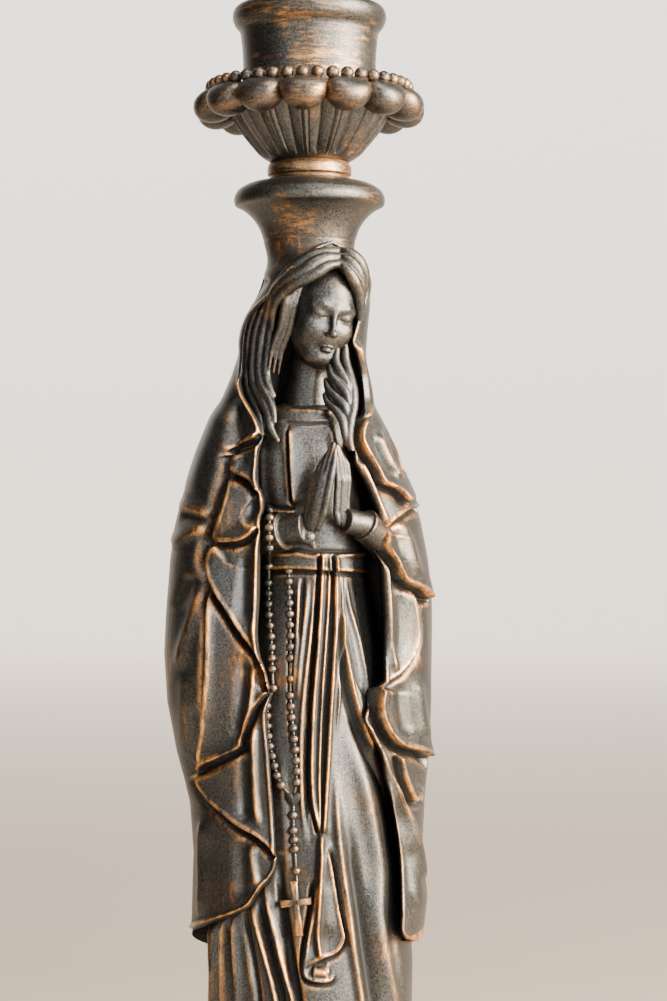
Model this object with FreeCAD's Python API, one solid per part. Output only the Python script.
"""Candlestick in the form of a standing Madonna: a praying woman in gown, veil and mantle with a
rosary, who carries a candle cup with a scalloped drip pan over her head.

Millimetres, +Z up. The origin is the centre of the resting face. The figure faces -Y, so her own
right side is -X. The castings are stacked on one tie rod along the Z axis and clamped by a nut at
each end. Z levels below name the joints of that stack from the table upwards.
"""

import FreeCAD
import Part
import math
import os

V = FreeCAD.Vector
UP = V(0, 0, 1)

# ---- driving dimensions ----------------------------------------------------------------------
CANDLE_R = 11.0           # standard 22 mm dinner candle
SOCKET_R = 11.3
SHEET_GAP = 0.25          # clearance between nested castings
MANTLE_WALL = 2.4
GOWN_RELIEF = 1.6         # belt, sash and neck band stand this far off the gown
FOLD_RELIEF = 1.8         # the mantle's folded front edges stand this far off it
HAIR_GROWTH = (1.9, 1.5, 0.9)

Z_FELT = 1.5              # top of the felt, underside of the foot
Z_MOUND = 40.0            # top of the foot, underside of the rocky mound
Z_GOWN = 48.0             # top of the mound, hem of the gown
Z_MANTLE = 92.0           # hem of the mantle
Z_WAIST = 184.0           # skirt meets bodice
Z_NECKLINE = 225.0        # bodice meets neck
Z_SHOULDER = 228.0        # mantle meets veil
Z_CROWN = 266.0           # top of the veil, underside of the capital
Z_COLLAR = 280.0          # capital meets collar ring
Z_PAN = 284.5             # collar ring meets drip pan
Z_CUP = 299.0             # drip pan meets candle cup
Z_RIM = 324.0             # rim of the candle cup

ROD_R = 2.5
ROD_BORE_R = 2.75
ROD_BOTTOM = 4.5
ROD_TOP = 306.0
NUT_FLATS = 8.0
NUT_H = 4.0
WASHER_R = 5.0
WASHER_H = 1.0
FOOT_RECESS_R = 8.0
FOOT_RECESS_TOP = 12.0
CUP_RECESS_R = 6.5
CUP_RECESS_BOTTOM = 301.5
SOCKET_BOTTOM = 307.0

FOOT_R = 46.0
FOOT_LOBES = 16
PAN_LOBES = 12
PAN_LOBE_RING_R = 25.4
PAN_LOBE_Z = 296.6
PEARL_R = 1.75
PEARL_RING_R = 24.4
PEARL_COUNT = 42
PEARL_SEAT_Z = 302.0

BEAD_R = 1.15
BEAD_EMBED = 0.45         # depth of each rosary bead in the gown
CANDLE_TOP = 382.0
WICK_R = 0.9
WICK_H = 8.0

# Cross-sections, each (z, centre x, centre y, half width, front depth, back depth).
GOWN = [
    (48, 0, 0, 26.5, 26.5, 25.0),
    (60, 0, 0, 25.4, 25.6, 24.2),
    (80, 0, 0, 24.6, 24.8, 23.4),
    (95, 0, 0, 23.8, 24.0, 22.4),
    (110, 0, 0, 22.4, 22.8, 20.8),
    (125, 0, 0, 21.0, 21.8, 19.4),
    (145, 0, 0, 19.6, 20.8, 18.0),
    (165, 0, 0, 17.6, 19.2, 16.5),
    (184, 0, 0, 14.2, 16.4, 14.0),
    (200, 0, 0, 16.0, 16.8, 14.5),
    (212, 0, 0, 16.6, 16.2, 14.5),
    (219, 0, 0, 14.6, 13.8, 13.0),
    (225, 0, 0, 9.0, 9.6, 9.0),
]
MANTLE = [
    (90, 0, 2.0, 29.2, 26.6, 26.0),
    (100, -0.5, 2.6, 29.0, 26.0, 25.4),
    (115, -1, 3.4, 28.9, 25.6, 24.8),
    (135, -1, 4, 31.0, 26.0, 25.5),
    (160, -1.5, 4, 33.4, 26.5, 26.5),
    (180, -1.5, 4, 33.0, 26.5, 25.5),
    (196, -1.5, 3.5, 31.0, 26.0, 24.5),
    (210, -1.5, 3, 26.4, 24.0, 22.0),
    (220, -1.2, 2, 21.5, 21.0, 20.0),
    (228, -0.8, 1.5, 18.0, 18.5, 18.5),
    (237, -0.5, 1, 15.9, 17.5, 17.0),
    (250, 0, 0, 14.3, 17.0, 15.0),
    (259, 0.2, -0.5, 13.0, 16.5, 13.0),
    (266, 0, 0, 11.4, 12.5, 11.6),
]
RING_POINTS = 16          # points interpolated round each cross-section
QUARTER_TURN = -18.0      # the cloth's edges are laid out in a view this far round from the front


def slab(z0, z1, reach=60.0):
    return Part.makeBox(2 * reach, 2 * reach, z1 - z0, V(-reach, -reach, z0))


def rod_bore(z0, z1, radius=ROD_BORE_R):
    return Part.makeCylinder(radius, z1 - z0, V(0, 0, z0), UP)


def cross_section(z, cx, cy, half_width, front, back, offset):
    """Closed smooth curve round one level of a figure layer, grown outwards by offset."""
    points = []
    for k in range(RING_POINTS):
        angle = 2 * math.pi * k / RING_POINTS
        side, fore = math.sin(angle), math.cos(angle)
        depth = front if fore > 0 else back
        points.append(V(cx + (half_width + offset) * side, cy - (depth + offset) * fore, z))
    curve = Part.BSplineCurve()
    curve.interpolate(Points=points, PeriodicFlag=True)
    return Part.Wire(curve.toShape())


def layer(sections, offset=0.0):
    """Solid skinned through a table of cross-sections."""
    rings = [cross_section(*row, offset) for row in sections]
    return Part.makeLoft(rings, True, False)


def turned(profile):
    """Solid of revolution about Z from a closed (radius, z) outline. A triple (radius, z, "via")
    marks the middle point of an arc between its neighbours."""
    edges = []
    points = [(p, len(p) == 3) for p in profile]
    first = last = V(profile[0][0], 0, profile[0][1])
    via = None
    for point, is_via in points[1:] + [points[0]]:
        here = V(point[0], 0, point[1])
        if is_via:
            via = here
            continue
        if via is not None:
            edges.append(Part.Arc(last, via, here).toShape())
        else:
            edges.append(Part.makeLine(last, here))
        last, via = here, None
    assert (last - first).Length < 1e-9
    return Part.Face(Part.Wire(edges)).revolve(V(0, 0, 0), UP, 360)


def front_prism(outline, y0=-60.0, y1=-2.0, turn=0.0):
    """Straight-sided block whose outline is drawn in front view, in (x, z), then turned about Z."""
    points = [V(x, y0, z) for x, z in outline]
    face = Part.Face(Part.makePolygon(points + points[:1]))
    block = face.extrude(V(0, y1 - y0, 0))
    block.rotate(V(0, 0, 0), UP, turn)
    return block


def ellipsoid(centre, radii, roll=0.0, pitch=0.0, yaw=0.0):
    """Ellipsoid with its own axes along X, Y, Z, then rolled about Y, pitched about X, turned about Z."""
    shape = Part.makeSphere(1.0)
    stretch = FreeCAD.Matrix()
    stretch.scale(V(*radii))
    shape = shape.transformGeometry(stretch)
    for axis, angle in ((V(0, 1, 0), roll), (V(1, 0, 0), pitch), (UP, yaw)):
        if angle:
            shape.rotate(V(0, 0, 0), axis, angle)
    shape.translate(V(*centre))
    return shape


def limb(points, radii):
    """Tapered tube through points: a cone on each run and a ball at each joint."""
    balls = [Part.makeSphere(r, V(*p)) for p, r in zip(points, radii)]
    runs = []
    for (p, r), (q, s) in zip(zip(points, radii), zip(points[1:], radii[1:])):
        start, end = V(*p), V(*q)
        axis = end - start
        if abs(r - s) < 1e-6:
            runs.append(Part.makeCylinder(r, axis.Length, start, axis))
        else:
            runs.append(Part.makeCone(r, s, axis.Length, start, axis))
    return balls[0].multiFuse(balls[1:] + runs).removeSplitter()


# ---- foot and mound --------------------------------------------------------------------------
def make_felt_pad():
    return Part.makeCylinder(FOOT_R - 4.0, Z_FELT)


def make_foot():
    """Turned foot with gadroon lobes round its shoulder, bored for the tie rod."""
    body = turned([
        (0, Z_FELT), (FOOT_R - 1.5, Z_FELT), (FOOT_R, 4.2, "via"), (FOOT_R - 1.5, 7.0),
        (FOOT_R - 4.0, 7.0), (30.0, 16.5, "via"), (23.5, 28.0),
        (26.0, 30.5, "via"), (24.0, 33.0), (23.5, 35.0), (29.0, 38.0, "via"), (29.5, Z_MOUND),
        (0, Z_MOUND),
    ])
    lobes = []
    for k in range(FOOT_LOBES):
        lobe = ellipsoid((FOOT_R - 8.2, 0, 9.6), (4.6, 6.4, 4.0), roll=35)
        lobe.rotate(V(0, 0, 0), UP, 360.0 * (k + 0.5) / FOOT_LOBES)
        lobes.append(lobe)
    foot = body.multiFuse(lobes)
    recess = Part.makeCylinder(FOOT_RECESS_R, FOOT_RECESS_TOP - Z_FELT, V(0, 0, Z_FELT), UP)
    return foot.cut(recess).cut(rod_bore(0, Z_MOUND))


def make_mound():
    """Low rock that the figure stands on."""
    rings = [
        cross_section(Z_MOUND, 0, 0, 28.5, 28.5, 28.5, 0),
        cross_section(Z_MOUND + 3.5, 0, 0, 29.5, 30.0, 29.5, 0),
        cross_section(Z_GOWN, 0, 0, 28.6, 29.0, 27.0, 0),
    ]
    mound = Part.makeLoft(rings, True, False)
    return mound.cut(rod_bore(Z_MOUND, Z_GOWN))


def make_feet(gown_outer):
    """Toe caps that look out from under the hem, one solid each."""
    feet = []
    for side in (-1, 1):
        toe = ellipsoid((6.2 * side, -23.5, Z_GOWN + 0.4), (3.9, 7.4, 4.0), yaw=12 * side)
        feet.append(toe.common(slab(Z_GOWN, Z_GOWN + 12)).cut(gown_outer))
    return feet


# ---- gown ------------------------------------------------------------------------------------
def make_skirt(gown):
    return gown.common(slab(Z_GOWN, Z_WAIST)).cut(rod_bore(Z_GOWN, Z_WAIST))


def make_bodice(gown):
    return gown.common(slab(Z_WAIST, Z_NECKLINE)).cut(rod_bore(Z_WAIST, Z_NECKLINE))


def band_on(outer, inner, z0, z1):
    return outer.cut(inner).common(slab(z0, z1))


def make_sash(outer, inner):
    """Two flat tails that fall from the belt and meet at the knee, then run on as one."""
    right_tail = [(0.8, 180.6), (3.6, 180.6), (2.2, 150), (1.2, 128), (2.4, 116.5), (1.4, 116.5),
                  (-1.0, 128)]
    left_tail = [(4.8, 180.6), (7.6, 180.6), (6.8, 150), (5.0, 128), (3.2, 116.5), (2.6, 116.5),
                 (3.0, 128)]
    end_tail = [(1.2, 116.2), (3.4, 116.2), (6.8, 98), (8.6, 91), (7.6, 87.5), (3.4, 84.8),
                (-1.4, 82), (0.6, 92)]
    band = outer.cut(inner)
    return [band.common(front_prism(tail, turn=QUARTER_TURN)) for tail in (right_tail, left_tail, end_tail)]


# ---- arms and hands --------------------------------------------------------------------------
def make_sleeve(side, neighbours):
    """Arm in its sleeve from shoulder to cuff, relieved where it lies against the gown and mantle."""
    shoulder = (15.5 * side, 3.5, 213)
    elbow = (23.0 * side, 1.0, 189)
    wrist = (-2.2 + 8.0 * side, -19.0, 191.5)
    sleeve = limb([shoulder, elbow, wrist], [5.6, 5.4, 4.8])
    cuff_axis = V(*wrist) - V(*elbow)
    cuff_axis.normalize()
    beyond = Part.makeBox(40, 40, 40, V(-20, -20, 0))
    beyond.Placement = FreeCAD.Placement(V(*wrist), FreeCAD.Rotation(UP, cuff_axis))
    return sleeve.cut([beyond] + neighbours)


def make_hand(side):
    """One flat hand of a praying pair; the palms face each other across a narrow gap."""
    palm = ellipsoid((1.7 * side, 0, 4.0), (1.5, 3.6, 8.0), roll=-3 * side)
    fingers = ellipsoid((1.35 * side, -1.2, 14.0), (1.2, 3.1, 8.0), roll=-2 * side, pitch=4)
    hand = palm.fuse(fingers)
    hand.rotate(V(0, 0, 0), V(0, 1, 0), 12)
    hand.translate(V(-3.4, -21.4, 194))
    return hand


# ---- head ------------------------------------------------------------------------------------
HEAD_CENTRE = (0.2, -6.4, 248.0)
HEAD_RADII = (9.4, 11.2, 14.2)
HEAD_ROLL = 10.0
HEAD_PITCH = 8.0
VEIL_ROOF = 3.2           # thickness of the veil over the crown of the head


def skull(growth):
    """Egg shape of the head, grown along its own axes."""
    radii = [r + g for r, g in zip(HEAD_RADII, growth)]
    return ellipsoid(HEAD_CENTRE, radii, roll=HEAD_ROLL, pitch=HEAD_PITCH)


def make_head():
    neck = Part.makeCone(6.6, 5.6, 16.0, V(-0.6, -2.4, Z_NECKLINE), V(0.06, -0.12, 1))
    head = skull((0, 0, 0)).fuse(neck).common(slab(Z_NECKLINE, Z_CROWN - VEIL_ROOF - SHEET_GAP))
    return head.cut(rod_bore(Z_NECKLINE, Z_CROWN))


def make_hair():
    """Hair cap with a parting, open over the face."""
    face = front_prism([(-7.6, 236), (-6.8, 250), (1.6, 257.6), (7.6, 252), (5.2, 234)], y1=-8.0)
    cap = skull(HAIR_GROWTH).cut([skull((0.15, 0.15, 0.15)), face, rod_bore(Z_NECKLINE, Z_CROWN)])
    return cap.common(slab(241, Z_CROWN - VEIL_ROOF - SHEET_GAP))


def make_locks():
    """One long lock on each side of the neck, lying on the shoulders inside the mantle's opening."""
    heights = [236, 231, 223, 219, 215.5]
    # (angle from the front towards her left, distance from the axis, radius of the lock)
    courses = [
        [(-64, 11.4, 1.3), (-64, 12.2, 1.7), (-64, 15.5, 1.6), (-62, 17.8, 1.2), (-60, 18.7, 0.7)],
        [(50, 10.6, 1.3), (44, 11.0, 1.6), (24, 14.7, 1.2), (17, 17.1, 1.0), (13, 17.9, 0.7)],
    ]
    locks = []
    for course in courses:
        points = [(reach * math.sin(math.radians(angle)), -reach * math.cos(math.radians(angle)), z)
                  for (angle, reach, _), z in zip(course, heights)]
        locks.append(limb(points, [radius for _, _, radius in course]))
    return locks


# ---- veil and mantle -------------------------------------------------------------------------
def make_mantle(shell, clear_of):
    """Open-fronted cloak from shoulders to shins."""
    opening = front_prism([
        (-9.5, Z_SHOULDER + 1), (-12.2, 220), (-11.6, 200), (-12.6, 190), (-12.3, 168), (-9.8, 153),
        (-14.6, 142), (-12.0, 126), (-8.2, 111), (-13.5, 100), (-34.0, 89), (34.0, 89), (26.5, 92.5),
        (29.6, 99), (27.4, 112), (20.0, 130), (13.6, 145), (17.0, 152), (18.4, 162), (18.2, 190),
        (11.2, 209), (11.8, 218), (12.6, Z_SHOULDER + 1),
    ], y1=-1.0, turn=QUARTER_TURN)
    return shell.common(slab(Z_MANTLE, Z_SHOULDER)).cut(opening).cut(clear_of)


def make_veil(outer, inner):
    """Hood over the head, closed at the crown where the capital stands on it."""
    hollow = inner.common(slab(Z_SHOULDER - 1, Z_CROWN - VEIL_ROOF))
    hair_room = skull([growth + SHEET_GAP for growth in HAIR_GROWTH])
    hood = outer.common(slab(Z_SHOULDER, Z_CROWN)).cut(hollow).cut(hair_room)
    opening = front_prism([
        (-10.0, Z_SHOULDER - 1), (-11.5, 240), (-8.0, 253), (-3.5, 260), (1.6, 262.2),
        (6.5, 260), (9.6, 252), (9.8, 240), (9.0, Z_SHOULDER - 1),
    ], y1=-5.0)
    return hood.cut(opening).cut(rod_bore(Z_SHOULDER, Z_CROWN))


def make_cascade(side, outer, inner):
    """Zigzag front edge of the mantle, laid on its outside along the opening."""
    if side < 0:
        outline = [(-10.5, 227), (-12.8, 219), (-12.0, 214), (-12.0, 200), (-13.0, 191), (-12.8, 168),
                   (-10.3, 154), (-14.8, 142), (-12.6, 126), (-9.0, 112), (-17.0, 118), (-27.0, 128),
                   (-27.4, 133), (-24.6, 152), (-24.2, 172), (-25.3, 185), (-20.4, 206), (-20.3, 212),
                   (-16.0, 227)]
    else:
        outline = [(13.2, 227), (12.4, 218), (12.0, 210), (18.8, 192), (18.9, 162), (17.6, 152),
                   (17.0, 147), (22.0, 138.5), (29.4, 136), (28.4, 150), (27.0, 165), (28.4, 177),
                   (27.0, 190), (23.6, 200), (19.0, 212), (15.0, 227)]
    return outer.cut(inner).common(front_prism(outline, y1=4.0, turn=QUARTER_TURN))


# ---- capital, pan and cup --------------------------------------------------------------------
def make_capital():
    return turned([
        (ROD_BORE_R, Z_CROWN), (11.3, Z_CROWN), (12.4, 270.2, "via"), (15.6, 273.6),
        (18.2, 274.2), (18.9, 275.4, "via"), (18.2, 276.8), (14.5, 279.2, "via"), (10.8, Z_COLLAR),
        (ROD_BORE_R, Z_COLLAR),
    ])


def make_collar():
    middle = (Z_COLLAR + Z_PAN) / 2
    return turned([
        (ROD_BORE_R, Z_COLLAR), (9.8, Z_COLLAR), (10.6, middle, "via"), (9.8, Z_PAN), (ROD_BORE_R, Z_PAN),
    ])


def make_drip_pan():
    """Flared dish; a ring of oval lobes swells from its rim."""
    dish = turned([
        (ROD_BORE_R, Z_PAN), (10.2, Z_PAN), (14.6, 291.4, "via"), (23.6, 295.2), (26.4, 297.6, "via"),
        (25.0, 300.6), (21.6, 300.0), (18.5, Z_CUP), (ROD_BORE_R, Z_CUP),
    ])
    lobes = []
    for k in range(PAN_LOBES):
        lobe = ellipsoid((PAN_LOBE_RING_R, 0, PAN_LOBE_Z), (4.0, 6.0, 3.7), roll=25)
        lobe.rotate(V(0, 0, 0), UP, 360.0 * k / PAN_LOBES)
        lobes.append(lobe)
    return dish.multiFuse(lobes).cut(make_pearl_groove())


def pearl_centres():
    for k in range(PEARL_COUNT):
        angle = 2 * math.pi * k / PEARL_COUNT
        yield V(PEARL_RING_R * math.cos(angle), PEARL_RING_R * math.sin(angle), PEARL_SEAT_Z)


def make_pearl_groove():
    """Round groove in the pan that the pearls are set in."""
    return Part.makeTorus(PEARL_RING_R, PEARL_R + 0.05, V(0, 0, PEARL_SEAT_Z), UP)


def make_pearls():
    """Separate pearls set in the groove."""
    return [Part.makeSphere(PEARL_R, centre) for centre in pearl_centres()]


def make_cup():
    """Spool-shaped candle cup with a rolled rim, a socket and a recess for the top nut."""
    body = turned([
        (0, Z_CUP), (18.0, Z_CUP), (17.4, 302.0), (16.6, 308.5, "via"), (17.8, 317.6),
        (18.9, 319.0), (19.3, 320.8, "via"), (18.4, 322.8), (15.0, 323.9, "via"), (SOCKET_R + 0.8, Z_RIM),
        (SOCKET_R, Z_RIM - 0.8), (SOCKET_R, SOCKET_BOTTOM), (0, SOCKET_BOTTOM),
    ])
    recess_h = SOCKET_BOTTOM - CUP_RECESS_BOTTOM
    recess = Part.makeCylinder(CUP_RECESS_R, recess_h, V(0, 0, CUP_RECESS_BOTTOM), UP)
    return body.cut(recess).cut(rod_bore(Z_CUP, CUP_RECESS_BOTTOM))


# ---- tie rod and its hardware ----------------------------------------------------------------
def make_rod():
    return Part.makeCylinder(ROD_R, ROD_TOP - ROD_BOTTOM, V(0, 0, ROD_BOTTOM), UP)


def make_nut(z):
    corner_r = NUT_FLATS / math.sqrt(3)
    corners = [V(corner_r * math.cos(math.radians(60 * k)), corner_r * math.sin(math.radians(60 * k)), z)
               for k in range(6)]
    prism = Part.Face(Part.makePolygon(corners + corners[:1])).extrude(V(0, 0, NUT_H))
    return prism.cut(rod_bore(z, z + NUT_H, ROD_R + 0.05))


def make_washer(z):
    return Part.makeCylinder(WASHER_R, WASHER_H, V(0, 0, z), UP).cut(rod_bore(z, z + WASHER_H))


# ---- candle ----------------------------------------------------------------------------------
def make_candle():
    """Part-burnt dinner candle: straight body, softened shoulder and a shallow melt pool."""
    body = turned([
        (0, SOCKET_BOTTOM), (CANDLE_R - 0.6, SOCKET_BOTTOM), (CANDLE_R, SOCKET_BOTTOM + 0.6),
        (CANDLE_R, CANDLE_TOP - 3.0), (CANDLE_R - 1.0, CANDLE_TOP - 0.8, "via"),
        (CANDLE_R - 3.0, CANDLE_TOP),
        (CANDLE_R - 6.5, CANDLE_TOP - 1.6, "via"), (0, CANDLE_TOP - 2.4),
    ])
    return body.cut(Part.makeCylinder(WICK_R, 6.0, V(0, 0, CANDLE_TOP - 8.0), UP))


def make_wick():
    return Part.makeCylinder(WICK_R, 5.6 + WICK_H, V(0, 0, CANDLE_TOP - 8.0), UP)


# ---- rosary ----------------------------------------------------------------------------------
# Each run of the string is (angle from the front towards her left, z) at a few points from the top down.
RIGHT_RUN = [(-46, 196), (-46, 187), (-58, 184), (-57, 178), (-47, 165), (-45, 153), (-47, 149),
             (-44, 137), (-34, 126.6)]
LEFT_RUN = [(-40, 184), (-36, 172), (-33, 160), (-30, 150), (-26.5, 136), (-25.5, 126.8)]
PENDANT_RUN = [(-29, 122.8), (-28, 113), (-26, 104.4)]
# Groups of beads on a run, each (z of the first bead, number of beads, pitch in z).
RIGHT_GROUPS = [(194.6, 4, 2.4), (183.6, 1, 0), (179.2, 9, 2.65), (153.4, 1, 0), (149.0, 9, 2.5)]
LEFT_GROUPS = [(182.4, 9, 2.65), (156.6, 1, 0), (152.2, 9, 2.65)]
PENDANT_GROUPS = [(121.2, 1, 0), (117.5, 3, 2.45), (108.0, 1, 0)]
HEART_AT = (-29, 125.4)
CROSS_AT = (-24.5, 97.5)
CROSS_H, CROSS_W, CROSS_BAR, CROSS_T = 13.0, 7.8, 1.7, 1.6
CROSS_ARM_UP = 1.2        # underside of the arms above the middle of the post


def on_dress(dress, angle, z, lift):
    """Point on the outermost of the dress's solids at an angle and height, lifted off it, and the
    outward direction there."""
    turn = math.radians(angle)
    outward = V(math.sin(turn), -math.cos(turn), 0)
    ray = Part.makeLine(V(0, 0, z), V(0, 0, z) + outward * 60)
    hits = [vertex for solid in dress for vertex in solid.common(ray).Vertexes]
    reach = max(math.hypot(vertex.X, vertex.Y) for vertex in hits)
    return outward * (reach + lift) + V(0, 0, z), outward


def angle_on_run(run, z):
    for (high_angle, high_z), (low_angle, low_z) in zip(run, run[1:]):
        if z >= low_z:
            return low_angle + (high_angle - low_angle) * (z - low_z) / (high_z - low_z)
    return run[-1][0]


def bead_places(run, groups):
    """(angle, z) of every bead on one run."""
    levels = [z - k * pitch for z, count, pitch in groups for k in range(count)]
    return [(angle_on_run(run, z), z) for z in levels]


def all_runs():
    return [bead_places(RIGHT_RUN, RIGHT_GROUPS), bead_places(LEFT_RUN, LEFT_GROUPS),
            bead_places(PENDANT_RUN, PENDANT_GROUPS)]


def make_beads(dress):
    centres = [on_dress(dress, *place, BEAD_R - BEAD_EMBED)[0] for run in all_runs() for place in run]
    return [Part.makeSphere(BEAD_R, centre) for centre in centres]


def make_links(dress):
    """Wire links that cross the wider gaps in the string, each standing just clear of both beads."""
    runs = all_runs()
    runs += [[runs[0][-1], RIGHT_RUN[-1]], [runs[1][-1], LEFT_RUN[-1]], [runs[2][-1], PENDANT_RUN[-1]]]
    links = []
    for run in runs:
        for start, end in zip(run, run[1:]):
            p, _ = on_dress(dress, *start, 0.35)
            q, _ = on_dress(dress, *end, 0.35)
            axis = q - p
            length = axis.Length - 2 * (BEAD_R + 0.1)
            if length > 0.6:
                axis.normalize()
                links.append(Part.makeCylinder(0.35, length, p + axis * (BEAD_R + 0.1), axis))
    return links


def face_outwards(shape, centre, outward):
    """Turn a piece modelled facing -Y at the origin to face outward at centre."""
    shape.rotate(V(0, 0, 0), UP, math.degrees(math.atan2(outward.x, -outward.y)))
    shape.translate(centre)
    return shape


def make_heart(dress):
    """Heart-shaped centre piece."""
    lobes = [Part.makeCylinder(1.15, 1.4, V(0.9 * side, 0, 0.75), V(0, 1, 0)) for side in (-1, 1)]
    corners = [V(-1.95, 0, 0.5), V(1.95, 0, 0.5), V(0, 0, -2.2)]
    tip = Part.Face(Part.makePolygon(corners + corners[:1])).extrude(V(0, 1.4, 0))
    heart = tip.multiFuse(lobes).removeSplitter()
    heart.translate(V(0, -0.7, 0))
    return face_outwards(heart, *on_dress(dress, *HEART_AT, 0.25))


def make_cross(dress):
    post = Part.makeBox(CROSS_BAR, CROSS_T, CROSS_H, V(-CROSS_BAR / 2, -CROSS_T / 2, -CROSS_H / 2))
    arms = Part.makeBox(CROSS_W, CROSS_T, CROSS_BAR, V(-CROSS_W / 2, -CROSS_T / 2, CROSS_ARM_UP))
    cross = post.fuse(arms).removeSplitter()
    cross.rotate(V(0, 0, 0), V(0, 1, 0), -6.5)
    return face_outwards(cross, *on_dress(dress, *CROSS_AT, 0.5))


def build():
    gown = layer(GOWN)
    gown_clear = layer(GOWN, SHEET_GAP)
    gown_band = layer(GOWN, GOWN_RELIEF)
    gown_room = layer(GOWN, GOWN_RELIEF + SHEET_GAP)
    mantle_outer = layer(MANTLE)
    mantle_inner = layer(MANTLE, -MANTLE_WALL)
    mantle_clear = layer(MANTLE, SHEET_GAP)
    mantle_fold = layer(MANTLE, FOLD_RELIEF)
    mantle_room = make_mantle(mantle_clear.cut(layer(MANTLE, -MANTLE_WALL - SHEET_GAP)), gown)
    right_fold = make_cascade(-1, mantle_fold, mantle_clear)
    left_fold = make_cascade(1, mantle_fold, mantle_clear)
    veil = make_veil(mantle_outer, mantle_inner)
    right_sleeve = make_sleeve(-1, [gown_room, mantle_room])
    left_sleeve = make_sleeve(1, [gown_room, mantle_room])
    skirt = make_skirt(gown)
    belt = band_on(gown_band, gown_clear, 181.0, 186.0)
    bodice = make_bodice(gown)
    dress = [skirt, belt, right_sleeve, bodice]
    return {
        "felt_pad": [make_felt_pad()],
        "foot": [make_foot()],
        "mound": [make_mound()],
        "toes": make_feet(gown_clear),
        "gown_skirt": [skirt],
        "gown_bodice": [bodice],
        "neck_band": [band_on(gown_band, gown_clear, 219.5, 223.0)],
        "belt": [belt],
        "sash": make_sash(gown_band, gown_clear),
        "right_sleeve": [right_sleeve],
        "left_sleeve": [left_sleeve],
        "right_hand": [make_hand(-1)],
        "left_hand": [make_hand(1)],
        "head": [make_head()],
        "hair": [make_hair()],
        "hair_locks": make_locks(),
        "mantle": [make_mantle(mantle_outer.cut(mantle_inner), gown_clear)],
        "veil": [veil],
        "mantle_right_fold": [right_fold],
        "mantle_left_fold": [left_fold],
        "rosary_beads": make_beads(dress),
        "rosary_links": make_links(dress),
        "rosary_heart": [make_heart(dress)],
        "rosary_cross": [make_cross(dress)],
        "capital": [make_capital()],
        "collar_ring": [make_collar()],
        "drip_pan": [make_drip_pan()],
        "pearl_ring": make_pearls(),
        "candle_cup": [make_cup()],
        "tie_rod": [make_rod()],
        "rod_nuts": [make_nut(FOOT_RECESS_TOP - WASHER_H - NUT_H), make_nut(CUP_RECESS_BOTTOM + WASHER_H)],
        "rod_washers": [make_washer(FOOT_RECESS_TOP - WASHER_H), make_washer(CUP_RECESS_BOTTOM)],
        "candle": [make_candle()],
        "wick": [make_wick()],
    }


def main():
    os.makedirs("parts", exist_ok=True)
    for name, pieces in build().items():
        solids = [solid for piece in pieces for solid in piece.Solids]
        shape = Part.makeCompound(solids) if len(solids) > 1 else solids[0]
        shape.exportStep(f"parts/{name}.step")
        print(f"{name:18s} solids {len(solids):3d}  volume {shape.Volume:10.1f}  valid {shape.isValid()}")


main()
